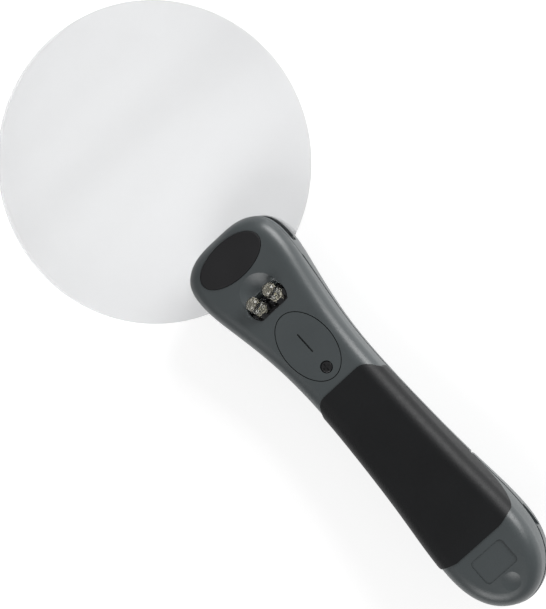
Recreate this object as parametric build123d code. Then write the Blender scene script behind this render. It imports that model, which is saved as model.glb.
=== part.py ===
from build123d import *
import math
import os

# Lighted hand magnifier: a round rimless lens held in the head of a two-shell handle.
# Modelled about the centre of the lens: X across, -Y along the handle to its tail, +Z out of
# the lighted side. "s" in names and calls is the distance from the lens centre to the tail, so
# Y = -s. At the end everything is moved so that the origin is under the middle of the object.
# All sizes are millimetres.

# ---- lens ----
lens_diameter = 110.0
lens_edge = 3.0
lens_face_radius = 300.0
gasket_thickness = 0.8
gasket_inset = 0.6

# ---- handle outline, seen from above ----
head_overlap = 20.0
handle_length = 159.0
head_half_width = 18.7
neck_half_width = 12.8
palm_half_width = 16.5
neck_from_tip = 61.0
palm_from_tail = 26.0
front_draft = 2.0
rear_draft = 1.2
widest_height = -6.0

# ---- handle profile, seen from the side (heights from the lens mid-plane) ----
head_height = 10.9
neck_height = 9.4
palm_height = 15.9
rest_depth = 11.5
flat_end_from_tail = 46.0
part_head = 6.2
part_neck = -3.0
part_tail = 7.2
front_round = 5.5
rear_round = 3.6
wall = 2.3
seam = 0.3
reveal_depth = 0.6
reveal_height = 1.0
running_gap = 0.3

# ---- rubber pad on the head and grip along the handle ----
pad_length = 25.6
pad_width = 13.2
pad_from_tip = 9.0
pad_depth = 1.3
pad_crown = 0.4
pad_gap = 0.15
grip_from_tip = 64.0
grip_end_from_tail = 23.4
grip_proud = 0.5
grip_sunk = 0.8
grip_above_seam = 3.0
grip_corner = 4.8
grip_bow = 12.0

# ---- lamps ----
led_diameter = 5.0
led_length = 7.8
led_flange_rim = 0.4
led_flange_thickness = 1.0
led_gap = 1.6
led_tilt = 55.0
led_from_tip = 28.4
led_sunk = 1.9
led_well_margin = 0.95
led_well_wall = 1.6
scoop_radius = 16.0
scoop_depth = 1.6
scoop_from_tip = 24.4
holder_thickness = 2.0
collar_wall = 0.7
collar_above_flange = 0.9
collar_slot = 1.5
lead_diameter = 0.5
lead_pitch = 2.54

# ---- service cover ----
cover_length = 26.6
cover_width = 17.8
cover_from_tip = 47.8
cover_thickness = 1.4
cover_gap = 0.3
cover_ledge = 1.6
slit_length = 7.8
slit_width = 0.6
slit_depth = 0.7
slit_before_middle = 1.5
cover_screw_from_middle = 9.2
cover_screw_length = 6.0
cover_screw_head_height = 0.9
cover_screw_sunk = 0.15
cover_boss_depth = 7.0

# ---- tail details ----
panel_length = 9.5
panel_width = 13.8
panel_corner = 1.6
panel_from_tail = 16.8
panel_depth = 0.4
dimple_radius = 12.0
dimple_depth = 0.45
dimple_from_tail = 7.2

# ---- screws ----
screw_head_diameter = 4.0
screw_head_height = 1.5
screw_shank_diameter = 2.0
screw_sunk = 2.0
screw_clearance = 0.3
shank_clearance = 0.1
boss_wall = 1.9
boss_seat = 2.0
case_screw_length = 13.0
case_screw_from_lens = 8.5
case_screw_from_side = 8.1
case_screw_from_grip = 8.0

# ---- board and switch ----
board_length = 22.0
board_width = 15.0
board_thickness = 1.2
board_height = 1.4
board_from_tip = 41.0
board_post_x = 6.0
board_post_radius = 1.4
chip_length = 3.2
chip_width = 1.6
chip_height = 0.6
knob_length = 9.0
knob_width = 5.8
knob_travel = 3.0
knob_from_tip = 47.0
knob_below_face = 0.5
knob_flange_reach = 1.5
knob_flange_thickness = 1.0
knob_rib_pitch = 1.5
knob_rib_radius = 0.35
stem_width = 2.0
stem_height = 1.7
dish_length = 25.0
dish_width = 14.0
dish_depth = 0.9
switch_length = 13.0
switch_width = 6.6
switch_height = 4.2
switch_plate = 0.7
switch_post_reach = 11.0
switch_post_radius = 1.6
terminal_pitch = 4.0

# ---- batteries, their tray and their contacts ----
cell_diameter = 10.5
cell_length = 44.5
cell_nub = 1.0
cell_nub_radius = 2.4
cell_side_gap = 0.2
cell_floor_gap = 0.45
cell_end_from_tail = 21.25
cell_tilt = 6.0
trough_gap = 0.35
tray_roof = 5.0
tray_side = 1.2
tray_wall = 1.4
tray_wall_height = 20.0
tray_foot_radius = 2.0
tray_foot_x = 7.5
tray_foot_inset = 6.0
tray_edge_height = 1.6
tray_below_seam = 4.4
contact_thickness = 0.5
contact_reach = 2.5
contact_width = 8.4
leaf_width = 4.4
leaf_rise = 3.6
leaf_flat = 0.8
wire_diameter = 1.3

# ---- battery door ----
door_front_from_tail = 49.0
tongue_length = 6.0
tongue_width = 14.0
tongue_thickness = 1.0
notch_radius = 0.9
groove_count = 5
groove_pitch = 2.6
groove_depth = 0.5
groove_half_width = 8.0
groove_from_front = 12.0
hollow_radius = 6.5
hollow_depth = 1.5
hollow_from_tail = 20.0
hollow_floor_height = -0.5


def between(a, b, share):
    """The value that lies a share of the way from a to b."""
    return a + (b - a) * share


def yz(s, z):
    """A point on the handle's middle plane."""
    return Vector(0, -s, z)


# ---- places and sizes that follow from the ones above ----
far = 60.0
neck_station = 6
lens_radius = lens_diameter / 2
head_tip = lens_radius - head_overlap
tail_tip = head_tip + handle_length
head_wide_s = head_tip + 12.0
neck_s = head_tip + neck_from_tip
palm_s = tail_tip - palm_from_tail
flat_start_s = head_tip + 17.0
flat_end_s = tail_tip - flat_end_from_tail
cavity_start_s = lens_radius + gasket_thickness + wall
floor_z = -rest_depth + wall

pad_s = head_tip + pad_from_tip
grip_s = head_tip + grip_from_tip
grip_end_s = tail_tip - grip_end_from_tail
panel_s = tail_tip - panel_from_tail
dimple_s = tail_tip - dimple_from_tail
dimple_surface = palm_height - 0.3

led_s = head_tip + led_from_tip
led_base_z = between(head_height, neck_height, 0.33) - led_sunk
led_flange_radius = led_diameter / 2 + led_flange_rim
led_spacing = 2 * led_flange_radius + led_gap
led_places = (-led_spacing / 2, led_spacing / 2)
scoop_s = head_tip + scoop_from_tip
scoop_z = between(head_height, neck_height, 0.25) + scoop_radius - scoop_depth
collar_height = led_flange_thickness + collar_above_flange

cover_s = head_tip + cover_from_tip
slit_s = cover_s - slit_before_middle
cover_screw_s = cover_s + cover_screw_from_middle
cover_screw_z = neck_height - cover_screw_sunk

board_s = head_tip + board_from_tip
board_top = board_height + board_thickness
knob_s = head_tip + knob_from_tip
switch_base_z = floor_z + running_gap + knob_flange_thickness + running_gap
case_screw_s = lens_radius + case_screw_from_lens
case_screw_x = head_half_width - case_screw_from_side
case_screw_rear_s = grip_s + case_screw_from_grip

cell_spacing = cell_diameter + cell_side_gap
cell_s = tail_tip - cell_end_from_tail - cell_length / 2
cell_rise = cell_length / 2 * math.sin(math.radians(cell_tilt))
cell_lean = cell_diameter / 2 * math.cos(math.radians(cell_tilt))
cell_axis_height = floor_z + cell_floor_gap + cell_rise + cell_lean

door_front_s = tail_tip - door_front_from_tail
door_edge_x = between(neck_half_width, palm_half_width, 0.50)
part_at_door = part_neck + 1.5


# ---- outlines and curves that the shells share ----
def outline_points(inset):
    """Half the plan outline from head tip to tail tip, moved inwards by inset."""
    stations = [
        (head_tip, 0.0),
        (head_tip + 1.3, 0.62 * head_half_width),
        (head_tip + 5.5, 0.91 * head_half_width),
        (head_wide_s, head_half_width),
        (between(head_wide_s, neck_s, 0.27), between(head_half_width, neck_half_width, 0.25)),
        (between(head_wide_s, neck_s, 0.60), between(head_half_width, neck_half_width, 0.74)),
        (neck_s, neck_half_width),
        (between(neck_s, palm_s, 0.36), between(neck_half_width, palm_half_width, 0.13)),
        (between(neck_s, palm_s, 0.72), between(neck_half_width, palm_half_width, 0.57)),
        (palm_s, palm_half_width),
        (tail_tip - 13.0, 0.92 * palm_half_width),
        (tail_tip - 4.5, 0.62 * palm_half_width),
        (tail_tip, 0.0),
    ]
    moved = [(head_tip + inset, 0.0)]
    for before, here, after in zip(stations, stations[1:], stations[2:]):
        run = Vector(after[0] - before[0], after[1] - before[1]).normalized()
        moved.append((here[0] + run.Y * inset, here[1] - run.X * inset))
    moved.append((tail_tip - inset, 0.0))
    return moved


def outline_face(inset, z):
    """The whole plan outline as a level face."""
    right = outline_points(inset)
    left = [(s, -x) for s, x in reversed(right[1:-1])]
    loop = [Vector(x, -s, z) for s, x in right + left]
    start = loop.index(Vector(right[neck_station][1], -right[neck_station][0], z))
    loop = loop[start:] + loop[:start]
    curve = Spline(*loop, periodic=True)
    opposite = curve.param_at_point(Vector(-loop[0].X, loop[0].Y, z))
    return make_face([curve.trim(0.0, opposite), curve.trim(opposite, 1.0)])


def front_line(depth):
    """Side view of the lighted face, depth below its surface."""
    heights = [
        (head_tip - 12.0, head_height - 0.9),
        (head_wide_s, head_height),
        (between(head_wide_s, neck_s, 0.35), between(head_height, neck_height, 0.40)),
        (neck_s, neck_height),
        (between(neck_s, palm_s, 0.35), between(neck_height, palm_height, 0.14)),
        (between(neck_s, palm_s, 0.70), between(neck_height, palm_height, 0.54)),
        (palm_s + 4.0, palm_height - 0.4),
        (tail_tip - 12.0, palm_height),
        (tail_tip - 3.0, palm_height - 0.9),
        (tail_tip + 12.0, palm_height - 4.6),
    ]
    return Spline(*[yz(s, z - depth) for s, z in heights])


def part_line(shift):
    """Side view of the joint between the two shells."""
    heights = [
        (head_tip - 12.0, part_head + 0.2),
        (head_tip + 6.0, part_head),
        (head_tip + 17.0, between(part_head, part_neck, 0.17)),
        (head_tip + 29.0, between(part_head, part_neck, 0.54)),
        (head_tip + 42.0, between(part_head, part_neck, 0.86)),
        (neck_s, part_neck),
        (between(neck_s, palm_s, 0.45), part_neck),
        (flat_end_s, between(part_neck, part_tail, 0.13)),
        (palm_s - 2.0, between(part_neck, part_tail, 0.42)),
        (tail_tip - 6.0, part_tail),
        (tail_tip + 12.0, part_tail + 6.0),
    ]
    return Spline(*[yz(s, z + shift) for s, z in heights])


def across(edges):
    """A prism right across the handle, from a closed side view."""
    return extrude(Pos(-far, 0, 0) * make_face(edges), 2 * far, dir=(1, 0, 0))


def slab(curve, z_limit):
    """Everything between a side-view curve and a level far above or below it."""
    start = curve @ 0
    end = curve @ 1
    edges = [
        curve,
        Line(end, Vector(0, end.Y, z_limit)),
        Line(Vector(0, end.Y, z_limit), Vector(0, start.Y, z_limit)),
        Line(Vector(0, start.Y, z_limit), start),
    ]
    return across(edges)


def rear_limit(inset):
    """Everything on the lighted side of the handle's rear surface."""
    rest = -rest_depth + inset
    head_curve = Spline(
        yz(head_tip - 12.0, rest + 6.6),
        yz(head_tip + 1.0, rest + 2.4),
        yz(flat_start_s, rest),
        tangents=[(0, -1, -0.36), (0, -1, 0)],
    )
    tail_curve = Spline(
        yz(flat_end_s, rest),
        yz(tail_tip - 28.0, rest + 2.1),
        yz(tail_tip - 15.0, rest + 6.4),
        yz(tail_tip - 5.0, rest + 12.2),
        yz(tail_tip + 12.0, rest + 25.5),
        tangents=[(0, -1, 0), (0, -1, 0.85)],
    )
    top = 50.0
    edges = [
        head_curve,
        Line(yz(flat_start_s, rest), yz(flat_end_s, rest)),
        tail_curve,
        Line(tail_curve @ 1, Vector(0, (tail_curve @ 1).Y, top)),
        Line(Vector(0, (tail_curve @ 1).Y, top), Vector(0, (head_curve @ 0).Y, top)),
        Line(Vector(0, (head_curve @ 0).Y, top), head_curve @ 0),
    ]
    return across(edges)


def s_range(s0, s1, half_width=far):
    """A block between two distances along the handle."""
    middle = Pos(0, -(s0 + s1) / 2, 0)
    return middle * Box(2 * half_width, s1 - s0, 2 * far)


def handle_block(inset, rounded):
    """The handle's whole outer form, moved inwards by inset, with its long edges rounded."""
    levels = [
        outline_face(inset + rear_draft, -rest_depth - 1.0),
        outline_face(inset, widest_height),
        outline_face(inset + front_draft, palm_height + 2.0),
    ]
    block = loft(levels) & slab(front_line(inset), -far) & rear_limit(inset)
    if not rounded:
        return block
    front_face = block.faces().sort_by(Axis.Z)[-1]
    block = fillet(front_face.edges(), front_round - inset)
    rear_faces = [f for f in block.faces() if f.normal_at(f.center()).Z < -0.5]
    rear_edges = [e for f in rear_faces for e in f.edges()]
    outer = [e for e in rear_edges if sum(e.is_same(o) for o in rear_edges) == 1]
    return fillet(outer, rear_round - inset)


# ---- lens and its seat in the head ----
def lens_form(grow):
    """The lens's turned form, made larger by grow on every side."""
    sag = lens_face_radius - math.sqrt(lens_face_radius ** 2 - lens_radius ** 2)
    rim = lens_radius + grow
    edge = lens_edge / 2 + grow
    middle = lens_edge / 2 + sag + grow
    half = lens_face_radius - math.sqrt(lens_face_radius ** 2 - (rim / 2) ** 2)
    profile = [
        ThreePointArc((0, 0, middle), (0, rim / 2, middle - half), (0, rim, edge)),
        Line((0, rim, edge), (0, rim, -edge)),
        ThreePointArc((0, rim, -edge), (0, rim / 2, half - middle), (0, 0, -middle)),
        Line((0, 0, -middle), (0, 0, middle)),
    ]
    return revolve(make_face(profile), Axis.Z)


def lens_gasket():
    """The soft strip that lines the slot in the head and grips the lens."""
    strip = lens_form(gasket_thickness) - lens_form(0.0)
    return strip & handle_block(gasket_inset, False)


# ---- pieces laid into the lighted face ----
def oval_prism(s, length, width):
    """An upright oval prism; length runs along the handle."""
    return Pos(0, -s, 0) * extrude(Ellipse(width / 2, length / 2), far, both=True)


def under_front(depth):
    """Everything deeper than depth under the lighted face."""
    return slab(front_line(depth), -far)


def inlay_pocket(prism, depth):
    return prism - under_front(depth)


def head_pad():
    prism = oval_prism(pad_s, pad_width, pad_length)
    pad = (prism & under_front(-pad_crown)) - under_front(pad_depth)
    return fillet(pad.faces().sort_by(Axis.Z)[-1].edges(), pad_crown)


def grip_outline():
    """Plan of the grip, wider than the handle: the side view trims it."""
    wide = far / 2
    flat_half = neck_half_width - 5.5
    shoulder = neck_half_width + 0.4
    slope_s = grip_s + 3 * grip_corner
    tail_s = grip_end_s - grip_bow
    line = [
        Line((-flat_half, -grip_s), (flat_half, -grip_s)),
        Spline((flat_half, -grip_s), (shoulder, -grip_s - grip_corner), (wide, -slope_s),
               tangents=[(1, 0), (1, -0.35)]),
        Line((wide, -slope_s), (wide, -tail_s)),
        ThreePointArc((wide, -tail_s), (0, -grip_end_s), (-wide, -tail_s)),
        Line((-wide, -tail_s), (-wide, -slope_s)),
        Spline((-wide, -slope_s), (-shoulder, -grip_s - grip_corner), (-flat_half, -grip_s),
               tangents=[(1, 0.35), (1, 0)]),
    ]
    return extrude(make_face(line), far)


def grip_side_limit():
    """Everything above the grip's lower edge along the sides."""
    low = part_neck + grip_above_seam
    curve = Spline(
        yz(grip_s - 12.0, low + 2.2),
        yz(grip_s + 12.0, low + 0.2),
        yz(between(grip_s, grip_end_s, 0.45), low),
        yz(flat_end_s, low + 1.2),
        yz(palm_s - 10.0, low + 4.2),
        yz(palm_s - 3.0, low + 9.5),
        yz(palm_s + 4.0, low + 24.0),
    )
    return slab(curve, far)


def front_grip(outer, inner):
    return (outer - inner) & grip_outline() & grip_side_limit()


# ---- the lamps ----
def rod(radius, length):
    """A cylinder that stands on the origin."""
    return Cylinder(radius, length, align=(Align.CENTER, Align.CENTER, Align.MIN))


def block(x, y, z):
    """A box that stands on the origin."""
    return Box(x, y, z, align=(Align.CENTER, Align.CENTER, Align.MIN))


def joined(shapes):
    """Several solids as one shape, for one cut or one join."""
    whole = shapes[0]
    for shape in shapes[1:]:
        whole += shape
    return whole


def lamp_place(along=0.0, x=0.0):
    """A place on a lamp's axis, measured from the seat of its flange, axis along local Z."""
    lean = math.radians(led_tilt)
    s = led_s - along * math.cos(lean)
    z = led_base_z + along * math.sin(lean)
    return Location((x, -s, z), (led_tilt - 90.0, 0, 0))


def led(x):
    radius = led_diameter / 2
    body = rod(radius, led_length - radius)
    dome = Pos(0, 0, led_length - radius) * Sphere(radius)
    return lamp_place(x=x) * (body + dome + rod(led_flange_radius, led_flange_thickness))


def led_leads():
    """Four straight leads from the lamps down into the board."""
    length = led_base_z / math.sin(math.radians(led_tilt))
    lead = Cylinder(lead_diameter / 2, length, align=(Align.CENTER, Align.CENTER, Align.MAX))
    trim = Pos(0, 0, board_top) * block(2 * far, 8 * far, 2 * far)
    sides = (-lead_pitch / 2, lead_pitch / 2)
    return Compound(children=[
        (lamp_place(x=x + side) * lead) & trim for x in led_places for side in sides])


def holder_blank():
    plate = RectangleRounded(2 * led_spacing - 1.0, led_spacing - 0.6, 1.6)
    return lamp_place() * extrude(plate, -holder_thickness)


def holder_room():
    """The holder's outer form with its collars filled, which the shell leaves free."""
    radius = led_flange_radius + collar_wall + 0.1
    return joined([holder_blank()] + [lamp_place(x=x) * rod(radius, collar_height) for x in led_places])


def led_holder(leads):
    """A plate behind the lamps with a split collar round each flange."""
    collar = rod(led_flange_radius + collar_wall, collar_height) - rod(led_flange_radius, collar_height)
    for turn in (0, 60, 120):
        collar -= Rot(0, 0, turn) * block(2 * far, collar_slot, collar_height)
    return joined([holder_blank()] + [lamp_place(x=x) * collar for x in led_places]) - leads


def lamp_well(grow):
    """A shallow scoop in the face, and one oval bore round the lamps down to their seat."""
    scoop = Pos(0, -scoop_s, scoop_z) * Sphere(scoop_radius + grow)
    bore = SlotCenterToCenter(led_spacing, 2 * (led_flange_radius + led_well_margin + grow))
    return scoop + lamp_place(-grow) * extrude(bore, far)


# ---- screws ----
def screw(length, head_height):
    """A cross-head screw pointing down, the top of its head at the origin."""
    radius = screw_head_diameter / 2
    head = fillet(rod(radius, head_height).faces().sort_by(Axis.Z)[-1].edges(), 0.35)
    shank = rod(screw_shank_diameter / 2, length - head_height / 2)
    long_way, narrow = 1.3 * radius, 0.3 * radius
    cross = Box(long_way, narrow, head_height) + Box(narrow, long_way, head_height)
    return Pos(0, 0, -head_height) * head + Pos(0, 0, -length) * shank - cross


def case_screw_places():
    """The case screws, heads towards the rear."""
    spots = [(-case_screw_x, case_screw_s), (case_screw_x, case_screw_s), (0.0, case_screw_rear_s)]
    return [Location((x, -s, -rest_depth + screw_sunk), (180, 0, 0)) for x, s in spots]


def case_screws():
    return Compound(children=[
        place * screw(case_screw_length, screw_head_height) for place in case_screw_places()])


def rear_bosses():
    radius = screw_head_diameter / 2 + screw_clearance + boss_wall
    below = screw_head_height + boss_seat
    height = screw_sunk + below - wall / 2
    return [place * Pos(0, 0, -below) * rod(radius, height) for place in case_screw_places()]


def rear_boss_bores():
    head = rod(screw_head_diameter / 2 + screw_clearance, screw_sunk + screw_head_height + 1.0)
    shank = rod(screw_shank_diameter / 2 + shank_clearance, far / 2)
    bore = Pos(0, 0, -screw_head_height) * head + Pos(0, 0, -far / 2) * shank
    return [place * bore for place in case_screw_places()]


def front_bosses():
    """Bosses that come down from the front shell onto the rear ones."""
    radius = screw_shank_diameter / 2 + boss_wall
    start = screw_head_height + boss_seat
    return [place * Pos(0, 0, -far / 2) * rod(radius, far / 2 - start)
            for place in case_screw_places()]


def case_screw_holes():
    length = case_screw_length + 0.5
    return [place * Pos(0, 0, -length) * rod(screw_shank_diameter / 2, length)
            for place in case_screw_places()]


# ---- service cover ----
def at_cover_screw(z):
    return Pos(0, -cover_screw_s, z)


def service_cover():
    prism = oval_prism(cover_s, cover_length, cover_width)
    cover = (prism & under_front(0.0)) - under_front(cover_thickness)
    slit = Pos(0, -slit_s, 0) * extrude(SlotOverall(slit_length, slit_width, rotation=90), far)
    head = at_cover_screw(cover_screw_z - cover_screw_head_height) * rod(
        screw_head_diameter / 2 + 0.2, far)
    shank = at_cover_screw(0.0) * rod(screw_shank_diameter / 2 + shank_clearance, far)
    return cover - (slit - under_front(slit_depth)) - head - shank


def service_cover_screw():
    return at_cover_screw(cover_screw_z) * screw(cover_screw_length, cover_screw_head_height)


def cover_boss():
    """The boss under the cover that takes its screw."""
    boss = at_cover_screw(cover_screw_z - cover_boss_depth) * rod(
        screw_shank_diameter / 2 + boss_wall, cover_boss_depth)
    return boss & handle_block(cover_thickness + 0.4, False)


def cover_opening():
    """The seat and the way through the shell under the service cover."""
    room = 2 * cover_gap
    seat = inlay_pocket(oval_prism(cover_s, cover_length + room, cover_width + room), cover_thickness)
    ledge = 2 * cover_ledge
    way = oval_prism(cover_s, cover_length - ledge, cover_width - ledge)
    clear_of_boss = Pos(0, -cover_screw_s + 4.6 + far, 0) * Box(2 * far, 2 * far, 2 * far)
    return seat + ((way & clear_of_boss) - under_front(wall + 1.0))


# ---- battery bay ----
def bay(x=0.0, y=0.0, z=0.0):
    """A place in the battery bay: local Y runs along the cells towards the head."""
    return Location((0, -cell_s, cell_axis_height), (-cell_tilt, 0, 0)) * Location((x, y, z))


def cell(side):
    """One cell; side is -1 or 1 across, and its nub faces the tail or the head."""
    body = rod(cell_diameter / 2, cell_length - cell_nub)
    body = fillet(body.edges().filter_by(GeomType.CIRCLE), 0.5) + rod(cell_nub_radius, cell_length)
    turned = Rot(90 * side, 0, 0) * Pos(0, 0, -cell_length / 2) * body
    return bay(x=side * cell_spacing / 2) * Rot(180, 0, 0) * turned


def leaf_contact():
    """A sprung strip that bridges from its plate to a cell end at the origin, plate towards +Y."""
    corners = [(contact_reach, leaf_rise), (0, leaf_flat), (0, -leaf_flat), (contact_reach, -leaf_rise)]
    taper = 1 - contact_thickness / leaf_rise
    outer = [Vector(0, y, z) for y, z in corners]
    inner = [Vector(0, y + contact_thickness, z * taper) for y, z in corners]
    face = make_face(Polyline(*outer, *reversed(inner), close=True))
    return extrude(Pos(-leaf_width / 2, 0, 0) * face, leaf_width, dir=(1, 0, 0))


def contact(width, leaves):
    """A contact plate with a sprung leaf for each cell that it serves."""
    plate = Pos(0, contact_reach + contact_thickness / 2, 0) * Box(width, contact_thickness, contact_width)
    return joined([plate] + [Pos(x, 0, 0) * leaf_contact() for x in leaves])


def head_contact(side):
    return bay(x=side * cell_spacing / 2, y=cell_length / 2) * contact(contact_width, [0.0])


def tail_contact():
    half = cell_spacing / 2
    plate = contact(cell_spacing + contact_width, [-half, half])
    return bay(y=-cell_length / 2) * Rot(0, 0, 180) * plate


def battery_tray(fittings):
    """The cradle over the cells, with an end wall behind each contact and four feet."""
    inside = cell_length / 2 + contact_reach + contact_thickness
    width = 2 * (cell_spacing + tray_side)
    tray = bay(z=cell_diameter / 2 - 1.0) * Box(width, 2 * inside, tray_roof)
    for end in (-1, 1):
        y = end * (inside + tray_wall / 2)
        tray += bay(y=y, z=tray_wall_height / 2 - 4.0) * Box(width, tray_wall, tray_wall_height)
        for side in (-1, 1):
            foot = rod(tray_foot_radius, tray_wall_height)
            tray += bay(side * tray_foot_x, end * (inside - tray_foot_inset), cell_diameter / 2) * foot
    for side in (-1, 1):
        trough = Rot(90, 0, 0) * Cylinder(cell_diameter / 2 + trough_gap, 2 * inside)
        tray -= bay(x=side * cell_spacing / 2) * trough
    tray -= bay(z=-far / 2 + tray_edge_height) * Box(2 * far, 2 * inside, far)
    tray = tray & handle_block(wall, False) & slab(part_line(-tray_below_seam), far)
    return tray - joined(fittings)


# ---- switch and board ----
def switch_knob():
    """The slide knob: ribbed cap in the rear face, flange inside the wall, stem into the switch."""
    cap_low = -rest_depth + knob_below_face
    flange_low = floor_z + running_gap
    cap = Pos(0, -knob_s, cap_low) * block(knob_width, knob_length, flange_low - cap_low)
    for step in range(-2, 3):
        groove = Rot(0, 90, 0) * Cylinder(knob_rib_radius, knob_width + 1.0)
        cap -= Pos(0, -knob_s + step * knob_rib_pitch, cap_low) * groove
    reach = 2 * knob_flange_reach
    flange = block(knob_width + reach, knob_length + reach, knob_flange_thickness)
    stem = block(stem_width, stem_width, knob_flange_thickness + stem_height)
    return cap + Pos(0, -knob_s, flange_low) * (flange + stem)


def knob_opening():
    """The way for the knob's cap through the rear wall, and the finger dish round it."""
    room = 2 * running_gap
    middle = Pos(0, -knob_s + knob_travel / 2, -rest_depth)
    slot = Box(knob_width + room, knob_length + knob_travel + room, 4 * wall)
    dish = Pos(0, 0, -1.0) * extrude(Ellipse(dish_width / 2, dish_length / 2), 1.0 + dish_depth)
    return middle * (slot + dish)


def switch_housing():
    """The switch body on a plate whose two ends stand on posts."""
    middle = Pos(0, knob_travel / 2, 0)
    body = block(switch_width, switch_length, switch_height)
    plate = middle * block(switch_width, 2 * switch_post_reach + 3.0, switch_plate)
    room = 2 * running_gap
    way = middle * Box(stem_width + room, stem_width + knob_travel + room, 2 * stem_height)
    return Pos(0, -knob_s, switch_base_z) * (body + plate - way)


def switch_posts():
    foot_z = floor_z - wall / 2
    y = -knob_s + knob_travel / 2
    return [Pos(0, y + end * switch_post_reach, foot_z) * rod(switch_post_radius, switch_base_z - foot_z)
            for end in (-1, 1)]


def switch_terminals():
    """Three pins from the switch up to the board."""
    low = switch_base_z + switch_height
    pin = block(1.0, 0.5, board_height - low)
    return Compound(children=[
        Pos(0, -knob_s + step * terminal_pitch, low) * pin for step in (-1, 0, 1)])


def led_board():
    return Pos(0, -board_s, board_height) * block(board_width, board_length, board_thickness)


def board_resistors():
    chip = block(chip_width, chip_length, chip_height)
    return Compound(children=[Pos(x, -board_s - 4.0, board_top) * chip for x in (-2.5, 2.5)])


def board_posts():
    """Posts from the front shell that hold the board's free end."""
    y = -board_s - board_length / 2 + 2.0
    return [Pos(side * board_post_x, y, board_top) * rod(board_post_radius, far / 4)
            for side in (-1, 1)]


# ---- wires ----
def wire(side):
    """A wire from a cell contact, past the case screw, to the board."""
    plate_back = cell_length / 2 + contact_reach + contact_thickness
    start = bay(side * cell_spacing / 2, plate_back, 2.2).position
    board_end = -board_s - board_length / 2
    top = board_top + wire_diameter / 2
    points = [
        start,
        Vector(side * 5.6, start.Y + 4.5, start.Z + 0.1),
        Vector(side * 6.6, start.Y + 11.0, start.Z + 2.4),
        Vector(side * 6.3, -case_screw_rear_s + 1.0, top + 0.3),
        Vector(side * 4.4, board_end - 6.5, top + 0.5),
        Vector(side * 2.6, board_end + 2.0, top),
    ]
    radii = []
    for a, b, c in zip(points, points[1:], points[2:]):
        turn = math.radians((b - a).get_angle(c - b))
        radii.append(0.45 * min((b - a).length, (c - b).length) / math.tan(turn / 2))
    path = FilletPolyline(*points, radius=radii)
    return sweep(Plane(path @ 0, z_dir=path % 0) * Circle(wire_diameter / 2), path=path)


# ---- the two shells and the battery door ----
def front_shell(outer, grip_seat, lens_seat, hollow, lining, fittings):
    above = slab(part_line(seam / 2), far)
    shell = (outer & above) - lens_seat - hollow
    shell += lamp_well(led_well_wall) & lining & above
    shell += joined(front_bosses() + board_posts()) & lining
    shell += cover_boss()
    shell -= joined([lamp_well(0.0), holder_room(), cover_opening()] + case_screw_holes() + fittings)
    shell -= inlay_pocket(oval_prism(pad_s, pad_width + 2 * pad_gap, pad_length + 2 * pad_gap), pad_depth)
    shell -= (grip_outline() & grip_side_limit()) - grip_seat
    panel = Pos(0, -panel_s, 0) * extrude(RectangleRounded(panel_width, panel_length, panel_corner), far)
    shell -= inlay_pocket(panel, panel_depth)
    dimple_z = dimple_surface + dimple_radius - dimple_depth
    return shell - Pos(0, -dimple_s, dimple_z) * Sphere(dimple_radius)


def reveal():
    """The shadow groove round the rear shell's rim, just under the front shell."""
    band = slab(part_line(0.0), -far) - slab(part_line(-seam / 2 - reveal_height), -far)
    return (band & s_range(cavity_start_s, tail_tip + far)) - handle_block(reveal_depth, False)


def door_notches():
    """A small upright notch at each end of the joint between rear shell and door."""
    notch = rod(notch_radius, far + part_at_door)
    return joined([Pos(side * door_edge_x, -door_front_s, -far) * notch for side in (-1, 1)])


def back_shell(rear, lining):
    shell = rear & s_range(head_tip - far, door_front_s - running_gap / 2)
    shell += joined(rear_bosses() + switch_posts()) & lining
    return shell - joined(rear_boss_bores()) - knob_opening() - door_notches()


def thumb_grooves(outer):
    """Shallow grooves across the rear of the door."""
    skin = outer - rear_limit(groove_depth)
    starts = [door_front_s + groove_from_front + groove_pitch * step for step in range(groove_count)]
    return [skin & s_range(s, s + groove_pitch / 2, groove_half_width) for s in starts]


def finger_hollows():
    """A hollow in each side of the door, from a ledge up to the joint with the front shell."""
    x = palm_half_width + hollow_radius - hollow_depth
    y = -(tail_tip - hollow_from_tail)
    return [Pos(side * x, y, hollow_floor_height) * rod(hollow_radius, far) for side in (-1, 1)]


def battery_door(rear, outer):
    """The rear shell's tail, with a hooked tongue that runs in under the back shell's edge."""
    door = rear & s_range(door_front_s + running_gap / 2, tail_tip + far)
    for cut in thumb_grooves(outer) + finger_hollows() + [door_notches()]:
        door -= cut
    tongue = Pos(0, -1.5, running_gap) * block(tongue_width, 2 * tongue_length, tongue_thickness)
    root = Pos(0, -4.0, -0.4) * block(tongue_width, tongue_length, tongue_thickness + 0.7)
    return door + Pos(0, -door_front_s, floor_z) * (tongue + root)


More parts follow.
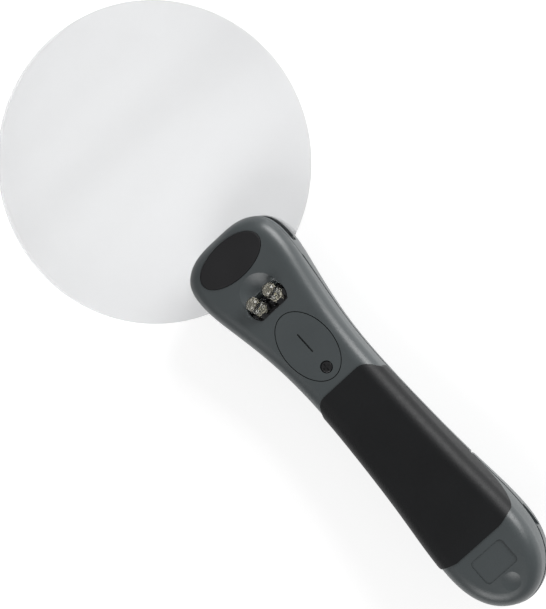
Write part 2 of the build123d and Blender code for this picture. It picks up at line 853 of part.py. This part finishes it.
def main():
    os.makedirs("parts", exist_ok=True)
    outer = handle_block(0.0, True)
    lining = handle_block(wall / 2, False)
    hollow = handle_block(wall, False) & s_range(cavity_start_s, tail_tip + far)
    grip_seat = handle_block(grip_sunk, True)
    lens_seat = lens_form(gasket_thickness)
    rear = (outer & slab(part_line(-seam / 2), -far)) - lens_seat - reveal() - hollow
    leads = led_leads()
    cover_screw = service_cover_screw()
    red, black = wire(1), wire(-1)
    contacts = [head_contact(-1), head_contact(1), tail_contact()]
    lamps = [led(x) for x in led_places]

    nodes = {
        "front_shell": front_shell(outer, grip_seat, lens_seat, hollow, lining, [leads, cover_screw]),
        "back_shell": back_shell(rear, lining),
        "battery_door": battery_door(rear, outer),
        "front_grip": front_grip(handle_block(-grip_proud, True), grip_seat),
        "head_pad": head_pad(),
        "lens": lens_form(0.0),
        "lens_gasket": lens_gasket(),
        "service_cover": service_cover(),
        "service_cover_screw": cover_screw,
        "led_left": lamps[0],
        "led_right": lamps[1],
        "led_leads": leads,
        "led_holder": led_holder(leads),
        "led_board": led_board(),
        "board_resistors": board_resistors(),
        "switch_knob": switch_knob(),
        "switch_housing": switch_housing(),
        "switch_terminals": switch_terminals(),
        "case_screws": case_screws(),
        "battery_left": cell(-1),
        "battery_right": cell(1),
        "battery_tray": battery_tray([red, black] + contacts),
        "contact_negative": contacts[0],
        "contact_positive": contacts[1],
        "contact_link": contacts[2],
        "wire_red": red,
        "wire_black": black,
    }
    stand = Pos(0, (tail_tip - lens_radius) / 2, rest_depth)
    for name, shape in nodes.items():
        export_step(stand * shape, f"parts/{name}.step")


main()
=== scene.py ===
import math

import bmesh
import bpy
from mathutils import Matrix, Vector

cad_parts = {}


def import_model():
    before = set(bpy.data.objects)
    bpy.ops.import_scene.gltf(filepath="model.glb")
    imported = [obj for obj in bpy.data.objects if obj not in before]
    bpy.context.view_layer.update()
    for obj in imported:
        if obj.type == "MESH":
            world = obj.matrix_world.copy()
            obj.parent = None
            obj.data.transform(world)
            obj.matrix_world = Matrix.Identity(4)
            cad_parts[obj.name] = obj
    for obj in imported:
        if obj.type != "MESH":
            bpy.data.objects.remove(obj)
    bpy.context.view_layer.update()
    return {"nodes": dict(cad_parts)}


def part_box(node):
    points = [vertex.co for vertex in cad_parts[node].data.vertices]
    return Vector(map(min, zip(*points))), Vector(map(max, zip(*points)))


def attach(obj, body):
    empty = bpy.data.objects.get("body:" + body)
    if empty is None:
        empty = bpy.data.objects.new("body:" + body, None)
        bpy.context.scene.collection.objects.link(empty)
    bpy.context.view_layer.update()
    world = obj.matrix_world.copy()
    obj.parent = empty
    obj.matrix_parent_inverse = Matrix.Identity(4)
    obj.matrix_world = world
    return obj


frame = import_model()

MM = 0.001
BODY = "handle"
WHITE = (1.0, 1.0, 1.0, 1.0)


# ---------------------------------------------------------------- material helpers
class Shader:
    """A node material with one Principled shader, and short calls that add to it.

    Keyword arguments set the shader's own sockets; an underscore stands for a space.
    """

    def __init__(self, name, **sockets):
        self.material = bpy.data.materials.new(name)
        self.material.use_nodes = True
        self.nodes = self.material.node_tree.nodes
        self.links = self.material.node_tree.links
        self.bsdf = self.nodes["Principled BSDF"]
        for socket, value in sockets.items():
            self.bsdf.inputs[socket.replace("_", " ")].default_value = value
        self.position = self.nodes.new("ShaderNodeTexCoord").outputs["Object"]

    def noise(self, per_metre, detail=3.0, stretch=(1, 1, 1)):
        """A noise in the object's own coordinates, with about this many features in a metre."""
        mapping = self.nodes.new("ShaderNodeMapping")
        mapping.inputs["Scale"].default_value = stretch
        self.links.new(self.position, mapping.inputs["Vector"])
        noise = self.nodes.new("ShaderNodeTexNoise")
        noise.inputs["Scale"].default_value = per_metre
        noise.inputs["Detail"].default_value = detail
        self.links.new(mapping.outputs["Vector"], noise.inputs["Vector"])
        return noise.outputs["Fac"]

    def colour(self, noise, dark, light, stops=(0.3, 0.7)):
        """A base colour that drifts between two tones as the noise does."""
        ramp = self.nodes.new("ShaderNodeValToRGB")
        for element, place, tone in zip(ramp.color_ramp.elements, stops, (dark, light)):
            element.position = place
            element.color = (*tone, 1)
        self.links.new(noise, ramp.inputs["Fac"])
        self.links.new(ramp.outputs["Color"], self.bsdf.inputs["Base Color"])

    def roughness(self, noise, least, most):
        """A roughness that the noise varies between two values."""
        remap = self.nodes.new("ShaderNodeMapRange")
        remap.inputs["To Min"].default_value = least
        remap.inputs["To Max"].default_value = most
        self.links.new(noise, remap.inputs["Value"])
        self.links.new(remap.outputs["Result"], self.bsdf.inputs["Roughness"])

    def grain(self, noise, depth, strength):
        """A fine bump in the surface, with its depth in metres."""
        bump = self.nodes.new("ShaderNodeBump")
        bump.inputs["Distance"].default_value = depth
        bump.inputs["Strength"].default_value = strength
        self.links.new(noise, bump.inputs["Height"])
        self.links.new(bump.outputs["Normal"], self.bsdf.inputs["Normal"])


def scaled(tone, factor):
    """A tone made lighter or darker, and never past full white."""
    return tuple(min(1.0, factor * value) for value in tone)


# ---------------------------------------------------------------- materials
def satin_plastic():
    """Dark grey moulded shell: faint cloudy tone, spark-eroded grain."""
    shader = Shader("satin_grey_plastic", Specular_IOR_Level=0.5, Coat_Weight=0.12, Coat_Roughness=0.3)
    cloud = shader.noise(45.0, detail=2.0)
    shader.colour(cloud, dark=(0.053, 0.062, 0.065), light=(0.061, 0.071, 0.074))
    shader.roughness(shader.noise(900.0), least=0.32, most=0.44)
    shader.grain(shader.noise(2600.0, detail=2.0), depth=0.03 * MM, strength=0.5)
    return shader.material


def rubber(name, tone, rough):
    """Soft black rubber with a fine matte skin."""
    shader = Shader(name, Specular_IOR_Level=0.26)
    shader.colour(shader.noise(60.0, detail=2.0), dark=tone, light=scaled(tone, 1.25))
    shader.roughness(shader.noise(700.0), least=rough - 0.05, most=rough + 0.06)
    shader.grain(shader.noise(1800.0), depth=0.05 * MM, strength=0.6)
    return shader.material


def black_plastic():
    """Black moulded plastic with a slight grain."""
    shader = Shader("black_plastic", Specular_IOR_Level=0.5)
    shader.colour(shader.noise(80.0), dark=(0.012, 0.012, 0.013), light=(0.020, 0.020, 0.021))
    shader.roughness(shader.noise(600.0), least=0.30, most=0.45)
    shader.grain(shader.noise(1500.0), depth=0.02 * MM, strength=0.5)
    return shader.material


def clear(name, tint, ior, rough, alpha=1.0):
    """Clear cast plastic, with faint painted reflection streaks in its colour."""
    shader = Shader(name, Transmission_Weight=1.0, IOR=ior, Roughness=rough, Alpha=alpha)
    # Soft lighter and darker streaks in the tint: painted reflections of the lights.
    reflection_streaks = shader.noise(26.0, detail=1.5, stretch=(0.16, 1.0, 1.0))
    shader.colour(reflection_streaks, dark=scaled(tint, 0.86), light=tint, stops=(0.36, 0.64))
    return shader.material


def metal(name, tone, rough, metallic=1.0):
    """Metal with a fine grain whose marks are narrow along the handle."""
    shader = Shader(name, Metallic=metallic)
    shader.colour(shader.noise(150.0), dark=tone, light=scaled(tone, 1.12))
    shine = shader.noise(1200.0, detail=2.0, stretch=(1, 8, 1))
    shader.roughness(shine, least=rough - 0.06, most=rough + 0.08)
    shader.grain(shader.noise(1600.0, detail=2.0, stretch=(1, 10, 1)), depth=0.01 * MM, strength=0.4)
    return shader.material


def painted(name, dark, light, rough):
    """A coloured skin, such as paint, a printed wrap or a wire's sheath."""
    shader = Shader(name)
    shader.colour(shader.noise(200.0), dark, light)
    shader.roughness(shader.noise(500.0), least=rough - 0.05, most=rough + 0.05)
    shader.grain(shader.noise(900.0), depth=0.02 * MM, strength=0.4)
    return shader.material


SHELL = satin_plastic()
GRIP = rubber("grip_rubber", tone=(0.0070, 0.0075, 0.0082), rough=0.48)
PAD = rubber("pad_rubber", tone=(0.013, 0.013, 0.014), rough=0.62)
BLACK = black_plastic()
# The lens's grey tint is painted shade: it darkens the floor seen through the lens, which casts no
# shadow.
LENS = clear("lens_acrylic", tint=(0.515, 0.522, 0.532), ior=1.49, rough=0.0, alpha=0.6)
LAMP = clear("lamp_epoxy", tint=(0.97, 0.97, 0.97), ior=1.52, rough=0.02)
STEEL = metal("plated_steel", tone=(0.60, 0.60, 0.61), rough=0.24)
BLACK_STEEL = metal("blackened_steel", tone=(0.060, 0.060, 0.062), rough=0.34)
LAMP_FRAME = metal("lamp_frame", tone=(0.92, 0.90, 0.84), rough=0.20, metallic=0.7)
# A diffuse ivory ring in each lamp's foot: a painted reflection standing in for the bright glint of
# its metal.
LAMP_PAINTED_GLINT = painted("lamp_foot_painted_glint", dark=(0.84, 0.80, 0.66), light=(0.90, 0.86, 0.72), rough=0.3)
BOARD = painted("board_green", dark=(0.010, 0.075, 0.030), light=(0.014, 0.095, 0.038), rough=0.35)
CELL = painted("cell_wrap", dark=(0.20, 0.21, 0.22), light=(0.24, 0.25, 0.26), rough=0.32)
WIRE_RED = painted("wire_red", dark=(0.42, 0.015, 0.012), light=(0.50, 0.02, 0.015), rough=0.35)
WIRE_BLACK = painted("wire_black", dark=(0.010, 0.010, 0.010), light=(0.016, 0.016, 0.016), rough=0.35)
CHIP = painted("lamp_chip", dark=(0.80, 0.66, 0.22), light=(0.90, 0.76, 0.30), rough=0.5)

FINISHES = [
    (SHELL, ["front_shell", "back_shell", "battery_door", "service_cover"]),
    (GRIP, ["front_grip"]),
    (PAD, ["head_pad"]),
    (BLACK, ["lens_gasket", "led_holder", "switch_knob", "switch_housing", "battery_tray",
             "board_resistors"]),
    (LENS, ["lens"]),
    (LAMP, ["led_left", "led_right"]),
    (BOARD, ["led_board"]),
    (STEEL, ["led_leads", "switch_terminals", "case_screws", "contact_negative", "contact_positive",
             "contact_link"]),
    (BLACK_STEEL, ["service_cover_screw"]),
    (CELL, ["battery_left", "battery_right"]),
    (WIRE_RED, ["wire_red"]),
    (WIRE_BLACK, ["wire_black"]),
]
for material, nodes in FINISHES:
    for node in nodes:
        for slot in frame["nodes"][node].material_slots:
            slot.material = material

# A shadow of the lens would darken the floor that is seen through it; the lens's grey tint paints that
# shade instead.
frame["nodes"]["lens"].visible_shadow = False


# ---------------------------------------------------------------- the metal inside each lamp
LAMP_LEAN = math.radians(55.0)
LAMP_AXIS = Vector((0.0, math.cos(LAMP_LEAN), math.sin(LAMP_LEAN)))
LAMP_LENGTH = 7.8 * MM
LAMP_RADIUS = 2.5 * MM

# Outlines turned about a lamp's axis: (radius, height above the seat of its flange) in mm.
CUP = [
    (0.30, 1.60),  # foot of the stem
    (0.40, 2.60),  # top of the stem
    (0.85, 3.30),  # outer edge of the rim
    (0.78, 3.40),  # inner edge of the rim
    (0.45, 2.95),  # edge of the floor, under the chip
]
CHIP_MOUND = [(0.38, 2.98), (0.34, 3.12), (0.16, 3.18)]
# A ring near the lamp's foot, coloured bright as a painted reflection.
FOOT_GLINT_RING = [(2.30, 0.20), (2.42, 0.35), (2.42, 0.70), (2.20, 0.80)]

# Opposite corners of the short and the long post, in mm about the same axis.
POSTS = [
    ((-1.75, -0.50, 0.25), (-0.45, 0.50, 2.60)),
    ((0.55, -0.45, 0.25), (1.65, 0.45, 3.40)),
]


def middle(node):
    """The middle of a CAD node's box."""
    low, high = (Vector(corner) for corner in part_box(node))
    return (low + high) / 2


def lamp_place(node):
    """The way from a lamp's own mm, up its axis from its flange's seat, to the frame's metres.

    A lamp leans up and towards the lens, so its dome touches the +Y and +Z sides of its box.
    """
    _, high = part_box(node)
    dome = Vector((middle(node).x, high[1] - LAMP_RADIUS, high[2] - LAMP_RADIUS))
    seat = dome - (LAMP_LENGTH - LAMP_RADIUS) * LAMP_AXIS
    lean = Vector((0, 0, 1)).rotation_difference(LAMP_AXIS).to_matrix().to_4x4()
    return Matrix.Translation(seat) @ lean @ Matrix.Scale(MM, 4)


def turned(place, outline, steps=40):
    """A form turned about the local Z of place, closed flat at both ends of its outline."""
    shape = bmesh.new()
    rings = []
    for radius, height in outline:
        ring = []
        for step in range(steps):
            angle = 2 * math.pi * step / steps
            corner = Vector((radius * math.cos(angle), radius * math.sin(angle), height))
            ring.append(shape.verts.new(place @ corner))
        rings.append(ring)
    for inner, outer in zip(rings, rings[1:]):
        for step in range(steps):
            after = (step + 1) % steps
            shape.faces.new((inner[step], inner[after], outer[after], outer[step]))
    shape.faces.new(list(reversed(rings[0])))
    shape.faces.new(rings[-1])
    return shape


def boxes(place, corner_pairs):
    """Boxes along the local axes of place, each between two opposite corners."""
    shape = bmesh.new()
    for low, high in corner_pairs:
        centre = (Vector(low) + Vector(high)) / 2
        extent = Vector(high) - Vector(low)
        at = place @ Matrix.Translation(centre) @ Matrix.Diagonal((*extent, 1.0))
        bmesh.ops.create_cube(shape, size=1.0, matrix=at)
    return shape


def mesh_piece(name, shape, material, smooth=True):
    """A new object with this shape; it rides on the handle."""
    mesh = bpy.data.meshes.new(name)
    shape.to_mesh(mesh)
    shape.free()
    for face in mesh.polygons:
        face.use_smooth = smooth
    mesh.materials.append(material)
    piece = bpy.data.objects.new(name, mesh)
    bpy.context.collection.objects.link(piece)
    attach(piece, BODY)


def lamp_insides(node):
    """The lead frame of one lamp: a cup with its chip, two posts, and a foot ring whose bright ivory
    is a painted reflection.
    """
    place = lamp_place(node)
    mesh_piece(node + "_cup", turned(place, CUP), LAMP_FRAME)
    mesh_piece(node + "_posts", boxes(place, POSTS), LAMP_FRAME, smooth=False)
    mesh_piece(node + "_chip", turned(place, CHIP_MOUND, steps=24), CHIP)
    mesh_piece(node + "_foot_painted_glint", turned(place, FOOT_GLINT_RING), LAMP_PAINTED_GLINT)


for lamp in ("led_left", "led_right"):
    lamp_insides(lamp)


# ---------------------------------------------------------------- floor and light
FLOOR_REACH = 2.0
FLOOR_DROP = 0.2 * MM
FLOOR_CORNERS = ((-1, -1), (1, -1), (1, 1), (-1, 1))


def floor():
    """A pale floor with its own glow, a hair below the object so that no faces coincide."""
    corners = [(x * FLOOR_REACH, y * FLOOR_REACH, -FLOOR_DROP) for x, y in FLOOR_CORNERS]
    mesh = bpy.data.meshes.new("floor")
    mesh.from_pydata(corners, [], [(0, 1, 2, 3)])
    shader = Shader("floor_white", Roughness=0.9, Specular_IOR_Level=0.1,
                    Emission_Color=WHITE, Emission_Strength=0.62)
    shader.colour(shader.noise(3.0), dark=(0.60, 0.60, 0.60), light=(0.62, 0.62, 0.62))
    mesh.materials.append(shader.material)
    plane = bpy.data.objects.new("floor", mesh)
    bpy.context.collection.objects.link(plane)


def world(strength):
    """An even white light from all round."""
    sky = bpy.data.worlds.new("studio")
    sky.use_nodes = True
    background = sky.node_tree.nodes["Background"]
    background.inputs["Color"].default_value = WHITE
    background.inputs["Strength"].default_value = strength
    bpy.context.scene.world = sky


def softbox(name, direction, distance, width, power):
    """A square light in this direction from the origin, and facing it."""
    data = bpy.data.lights.new(name, "AREA")
    data.shape = "SQUARE"
    data.size = width
    data.energy = power
    light = bpy.data.objects.new(name, data)
    light.location = Vector(direction).normalized() * distance
    light.rotation_euler = Vector(direction).to_track_quat("Z", "Y").to_euler()
    bpy.context.collection.objects.link(light)


# ---------------------------------------------------------------- camera
VIEW_AZIMUTH = math.radians(-36.06)
VIEW_ELEVATION = math.radians(74.36)
VIEW_DISTANCE = 1009.0 * MM
VIEW_ROLL = math.radians(-108.73)
# From the middle of the lens to the point, at the same height, in the middle of the picture.
AIM_FROM_LENS = Vector((-1.60, -63.52, 0.0)) * MM


def camera():
    """A long lens above the lighted side, turned so that the handle runs to the lower right."""
    data = bpy.data.cameras.new("camera")
    data.sensor_fit = "HORIZONTAL"
    data.sensor_width = 36.0
    data.lens = 195.3
    data.clip_start = 0.05
    flat = math.cos(VIEW_ELEVATION)
    rise = math.sin(VIEW_ELEVATION)
    towards = Vector((flat * math.cos(VIEW_AZIMUTH), flat * math.sin(VIEW_AZIMUTH), rise))
    forward = AIM_FROM_LENS - VIEW_DISTANCE * towards
    level = forward.to_track_quat("-Z", "Y").to_matrix().to_4x4()
    place = Matrix.Translation(middle("lens") + VIEW_DISTANCE * towards)
    eye = bpy.data.objects.new("camera", data)
    eye.matrix_world = place @ level @ Matrix.Rotation(VIEW_ROLL, 4, "Z")
    bpy.context.collection.objects.link(eye)
    bpy.context.scene.camera = eye


floor()
world(strength=0.26)
softbox("key", direction=(1.0, 0.2, 0.42), distance=1.2, width=0.7, power=15.0)
softbox("fill", direction=(-1.0, -0.8, 1.1), distance=1.4, width=0.8, power=8.5)
bpy.context.scene.view_settings.view_transform = "Standard"
camera()
